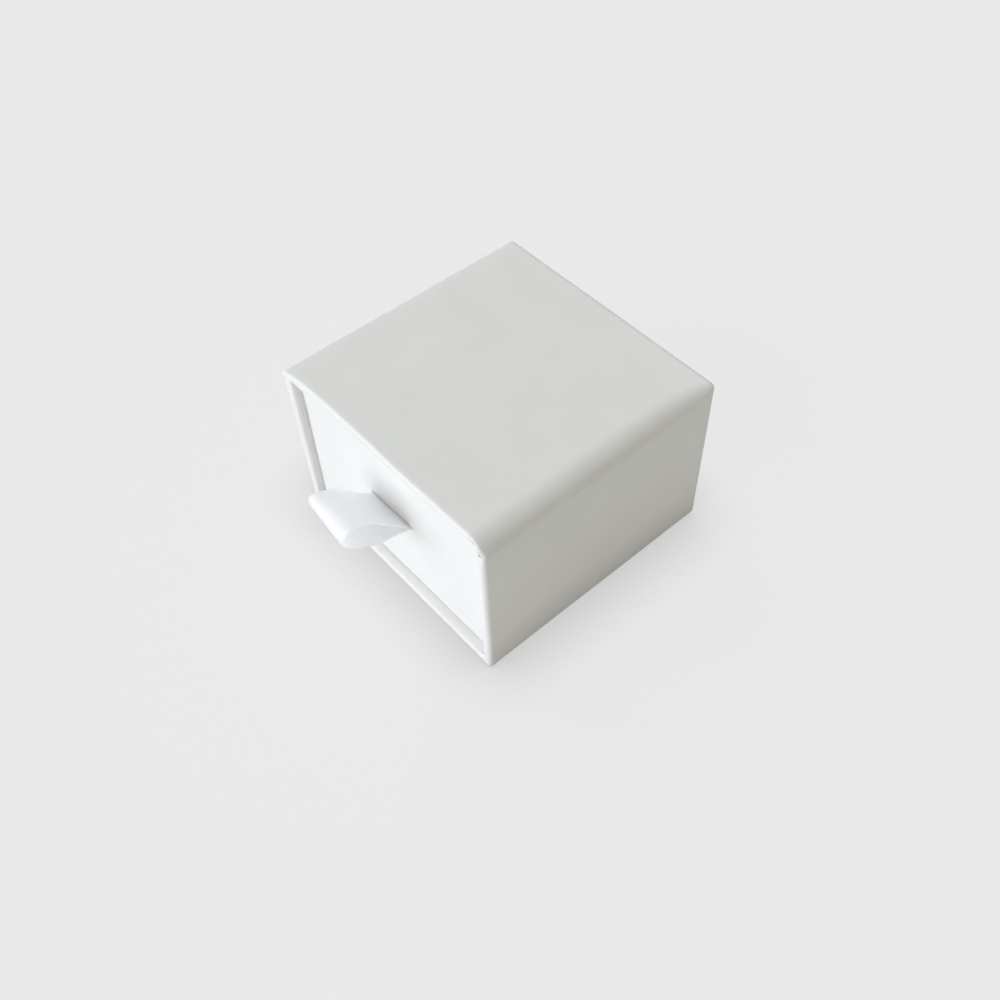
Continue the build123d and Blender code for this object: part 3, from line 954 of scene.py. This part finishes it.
def satin_finish(name, tone):
    """Satin: long floating threads down the ribbon, a soft lustre, and a slub here and there."""
    finish = Finish(name)
    place = finish.node("TexCoord", output="UV")
    threads = finish.node(
        "TexWave",
        {"Vector": place, "Scale": 24.0, "Distortion": 0.6, "Detail": 1.0, "Detail Scale": 2.0},
        {"wave_type": "BANDS", "bands_direction": "X"}, output="Fac",
    )
    slubs = finish.noise(finish.stretch(place, (90, 8, 1)), 1.0, 3)
    cloth = finish.mix(finish.spread(slubs, 0.3, 0.7), shade(tone, 1.025), shade(tone, 1.05))
    lustre = finish.node("BsdfPrincipled", {
        "Base Color": cloth,
        "Roughness": finish.spread(slubs, 0.3, 0.7, 0.34, 0.46),
        "Specular IOR Level": 1.0,
        "Coat Weight": 0.4,
        "Coat Roughness": 0.35,
        "Sheen Weight": 0.6,
        "Sheen Roughness": 0.4,
        "Normal": finish.bump(0.7 * threads + 0.3 * slubs, 0.012 * MM, 0.5),
    })
    through = finish.node("BsdfTranslucent", {"Color": cloth})
    both = finish.node("MixShader", {0: 0.66, 1: lustre, 2: through})
    finish.node("OutputMaterial", {"Surface": both})
    return finish.material


def foam_finish(name, tone):
    """Open foam: small round cells, with painted shade down in each cell's hollow."""
    finish = Finish(name)
    place = finish.place()
    cells = finish.node("TexVoronoi", {"Vector": place, "Scale": 1300.0}, output="Distance")
    return finish.surface(
        # Painted shade: each cell is darker where its bump sinks into a hollow.
        Base_Color=finish.mix(finish.spread(cells, 0.1, 0.6), shade(tone, 0.7), tone),
        Roughness=finish.spread(cells, 0.1, 0.6, 0.85, 0.95),
        Specular_IOR_Level=0.2,
        Normal=finish.bump(cells, 0.25 * MM, 0.8),
    )


def velvet_finish(name, tone):
    """Velvet: a short dense pile that lies over in brushed patches and shines at its edges."""
    finish = Finish(name)
    place = finish.place()
    nap = finish.noise(finish.stretch(place, (1, 0.6, 1)), 160, 3)
    pile = finish.noise(place, 5200, 3, 0.7)
    brushed = finish.spread(0.75 * nap + 0.25 * pile, 0.35, 0.65)
    return finish.surface(
        Base_Color=finish.mix(brushed, shade(tone, 0.9), shade(tone, 1.04)),
        Roughness=finish.spread(pile, 0.3, 0.7, 0.85, 0.98),
        Specular_IOR_Level=0.15,
        Sheen_Weight=0.6,
        Sheen_Roughness=0.35,
        Normal=finish.bump(0.35 * nap + 0.65 * pile, 0.12 * MM, 0.8),
    )


# Colours of the light: warm from all round, cool from the lamps.
SKY_TINT = (1.0, 0.952, 0.828)
FRONT_TINT = (0.884, 0.917, 1.0)
SIDE_TINT = (0.781, 0.907, 1.0)


def dress(piece, material):
    """Give a piece or a CAD node this one material."""
    piece.data.materials.clear()
    piece.data.materials.append(material)


class GIFTBOX_OT_sleeve(bpy.types.Operator):
    """Wrap the sleeve's boards in white paper, turned in round the mouth"""

    bl_idname = "gift_box.sleeve"
    bl_label = "Sleeve cover"

    def execute(self, context):
        sizes = context.scene.gift_box_sleeve
        cover = model_sleeve(sizes)
        # The wrap paper carries painted shade along the fold's lower edge, over the side's upper part and along
        # the foot.
        dress(cover, paper_finish(
            "wrap_paper_white", context.scene.gift_box_colours.wrap,
            lambda finish, place: painted_fold_and_foot_shade(finish, place, sizes),
        ))
        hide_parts("sleeve_wrap")
        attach(cover, "sleeve")
        return {"FINISHED"}


class GIFTBOX_OT_drawer(bpy.types.Operator):
    """Wrap the drawer's boards in white paper, turned over the rim and slit at the front"""

    bl_idname = "gift_box.drawer"
    bl_label = "Drawer cover"

    def execute(self, context):
        cover = model_drawer(context.scene.gift_box_drawer)
        dress(cover, paper_finish("drawer_paper_white", context.scene.gift_box_colours.wrap))
        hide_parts("drawer_wrap")
        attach(cover, "drawer")
        return {"FINISHED"}


class GIFTBOX_OT_ribbon(bpy.types.Operator):
    """Lay the satin ribbon through the slit and round its loop"""

    bl_idname = "gift_box.ribbon"
    bl_label = "Ribbon pull"

    def execute(self, context):
        sizes = context.scene.gift_box_ribbon
        ribbon, cut = model_ribbon(sizes)
        dress(ribbon, satin_finish("ribbon_satin_white", context.scene.gift_box_colours.ribbon))
        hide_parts("pull_loop", "pull_tails")
        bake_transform(ribbon)
        return {"FINISHED"}


class GIFTBOX_OT_insert(bpy.types.Operator):
    """Make the ring insert: two foam rolls under one velvet cover"""

    bl_idname = "gift_box.insert"
    bl_label = "Ring insert"

    def execute(self, context):
        sizes, colours = context.scene.gift_box_insert, context.scene.gift_box_colours
        foam = model_foam(sizes)
        dress(foam, foam_finish("foam_open", colours.foam))
        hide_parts("insert_foam")
        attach(foam, "drawer")
        velvet = model_velvet(sizes)
        dress(velvet, velvet_finish("velvet_white", colours.velvet))
        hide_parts("insert_velvet")
        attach(velvet, "drawer")
        return {"FINISHED"}


class GIFTBOX_OT_boards(bpy.types.Operator):
    """Finish the boards, linings, tapes and card that keep their drawn shape"""

    bl_idname = "gift_box.boards"
    bl_label = "Boards and linings"

    def execute(self, context):
        colours = context.scene.gift_box_colours
        board = board_finish("board_grey", colours.board)
        lining = paper_finish("lining_paper_white", colours.lining)
        tape = tape_finish("stay_tape_brown", colours.tape)
        finishes = {"grey_board": board, "lining_paper": lining, "stay_tape": tape}
        for part in frame["record"]["subparts"]:
            if part["material_slot"] in finishes:
                dress(frame["nodes"][part["node"]], finishes[part["material_slot"]])
            if part["material_slot"] == "grey_board" and part["node"] != "insert_card":
                pressed = frame["nodes"][part["node"]].modifiers.new("pressed_edges", "DISPLACE")
                pressed.strength, pressed.mid_level = -0.4 * MM, 0
        return {"FINISHED"}


class GIFTBOX_OT_stage(bpy.types.Operator):
    """Set the floor, the soft light and the camera"""

    bl_idname = "gift_box.stage"
    bl_label = "Stage"

    def execute(self, context):
        scene, settings = context.scene, context.scene.gift_box_stage
        bpy.ops.object.select_all(action="DESELECT")
        bpy.ops.mesh.primitive_plane_add(size=6, location=(0, 0, -0.06 * MM))
        floor = context.object
        floor.name = "floor"
        floor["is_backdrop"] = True
        finish = Finish("floor_pale")
        seen = self.seen_straight(finish)
        tone = scene.gift_box_colours.floor
        # Painted shadow: round the box's foot, the floor's glow that the camera sees is darkened by how much is
        # hidden nearby, and painted shade darkens the colour the floor throws back up there.
        open_sky = finish.node(
            "AmbientOcclusion", {"Distance": settings.contact}, {"samples": 4}, output="AO"
        )
        bounce_colour_with_painted_shade = finish.mix(settings.bounce_depth * (1 - open_sky), tone, (0, 0, 0))
        matt = finish.node("BsdfDiffuse", {"Color": bounce_colour_with_painted_shade})
        even = finish.node(
            "Emission",
            {
                "Color": (*[settings.floor_tone] * 3, 1),
                "Strength": 1 - settings.contact_depth * (1 - open_sky),
            },
        )
        both = finish.node("MixShader", {0: settings.floor_glow * seen, 1: matt, 2: even})
        finish.node("OutputMaterial", {"Surface": both})
        dress(floor, finish.material)

        scene.world = bpy.data.worlds.new("soft_sky")
        scene.world.use_nodes = True
        sky = Finish("soft_sky", scene.world.node_tree)
        shown = self.seen_straight(sky)
        light = sky.node("Background", {"Color": (*SKY_TINT, 1), "Strength": settings.sky})
        plain = (*[settings.backdrop] * 3, 1)
        backdrop = sky.node("Background", {"Color": plain, "Strength": 1.0})
        both = sky.node("MixShader", {0: shown, 1: light, 2: backdrop})
        sky.node("OutputWorld", {"Surface": both})

        self.add_light("front_light", settings.front, settings.front_height, settings.front_side,
                       settings.front_spread, FRONT_TINT)
        self.add_light("side_light", settings.side, settings.side_height, settings.side_turn,
                       settings.side_spread, SIDE_TINT)

        back = heading(settings.azimuth, settings.elevation)
        right = (-back).cross(UP).normalized()
        up = right.cross(-back)
        leaning = right * math.cos(settings.roll) + up * math.sin(settings.roll)
        rising = up * math.cos(settings.roll) - right * math.sin(settings.roll)
        bpy.ops.object.camera_add()
        camera = context.object
        camera.name = "camera"
        camera.data.lens, camera.data.sensor_width = settings.lens, 36.0
        camera.data.clip_start, camera.data.clip_end = 0.005, 20
        turned = Matrix((leaning, rising, back)).transposed().to_4x4()
        camera.matrix_world = Matrix.Translation(settings.place) @ turned
        scene.camera = camera
        scene.view_settings.view_transform = "Standard"
        return {"FINISHED"}

    @staticmethod
    def add_light(name, strength, height, side, spread, tint):
        """Add a wide soft light that shines from a height, and from a side to the left of the front."""
        bpy.ops.object.light_add(type="SUN", location=(0, 0, 0.5))
        light = bpy.context.object
        light.name = name
        light.data.energy, light.data.angle, light.data.color = strength, spread, tint
        light.rotation_euler = heading(-side, height).to_track_quat("Z", "Y").to_euler()

    @staticmethod
    def seen_straight(finish):
        """1 for what the camera sees straight, in a mirror or through glass, and 0 for light that bounces."""
        rays = ("Is Camera Ray", "Is Glossy Ray", "Is Transmission Ray")
        straight, glossy, through = (finish.node("LightPath", output=ray) for ray in rays)
        return (straight + glossy + through).least(1.0)


class GIFTBOX_PT_panel(bpy.types.Panel):
    """The box's pieces and their settings"""

    bl_idname = "GIFTBOX_PT_panel"
    bl_label = "Gift box"
    bl_space_type = "VIEW_3D"
    bl_region_type = "UI"
    bl_category = "Gift box"

    def draw(self, context):
        for operator in OPERATORS:
            self.layout.operator(operator.bl_idname)
        for name, group in SETTINGS.items():
            box = self.layout.box()
            for setting in group.__annotations__:
                box.prop(getattr(context.scene, name), setting)


SETTINGS = {
    "gift_box_sleeve": SleeveSizes,
    "gift_box_drawer": DrawerSizes,
    "gift_box_ribbon": RibbonSizes,
    "gift_box_insert": InsertSizes,
    "gift_box_colours": Colours,
    "gift_box_stage": StageSettings,
}
OPERATORS = (
    GIFTBOX_OT_sleeve,
    GIFTBOX_OT_drawer,
    GIFTBOX_OT_ribbon,
    GIFTBOX_OT_insert,
    GIFTBOX_OT_boards,
    GIFTBOX_OT_stage,
)


def register():
    for kind in (*SETTINGS.values(), *OPERATORS, GIFTBOX_PT_panel):
        bpy.utils.register_class(kind)
    for name, group in SETTINGS.items():
        setattr(bpy.types.Scene, name, PointerProperty(type=group))


def unregister():
    for name in SETTINGS:
        delattr(bpy.types.Scene, name)
    for kind in reversed((*SETTINGS.values(), *OPERATORS, GIFTBOX_PT_panel)):
        bpy.utils.unregister_class(kind)


def write_sizes():
    """Gather the box of the CAD model and that of the dressed one, as lists of corners."""
    boxes = {"cad": CAD_BOX, "visual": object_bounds()}
    {name: [list(corner) for corner in box] for name, box in boxes.items()}


def main():
    register()
    bpy.ops.gift_box.sleeve()
    bpy.ops.gift_box.drawer()
    bpy.ops.gift_box.ribbon()
    bpy.ops.gift_box.insert()
    bpy.ops.gift_box.boards()
    bpy.ops.gift_box.stage()
    write_sizes()


if __name__ == "__main__":
    main()
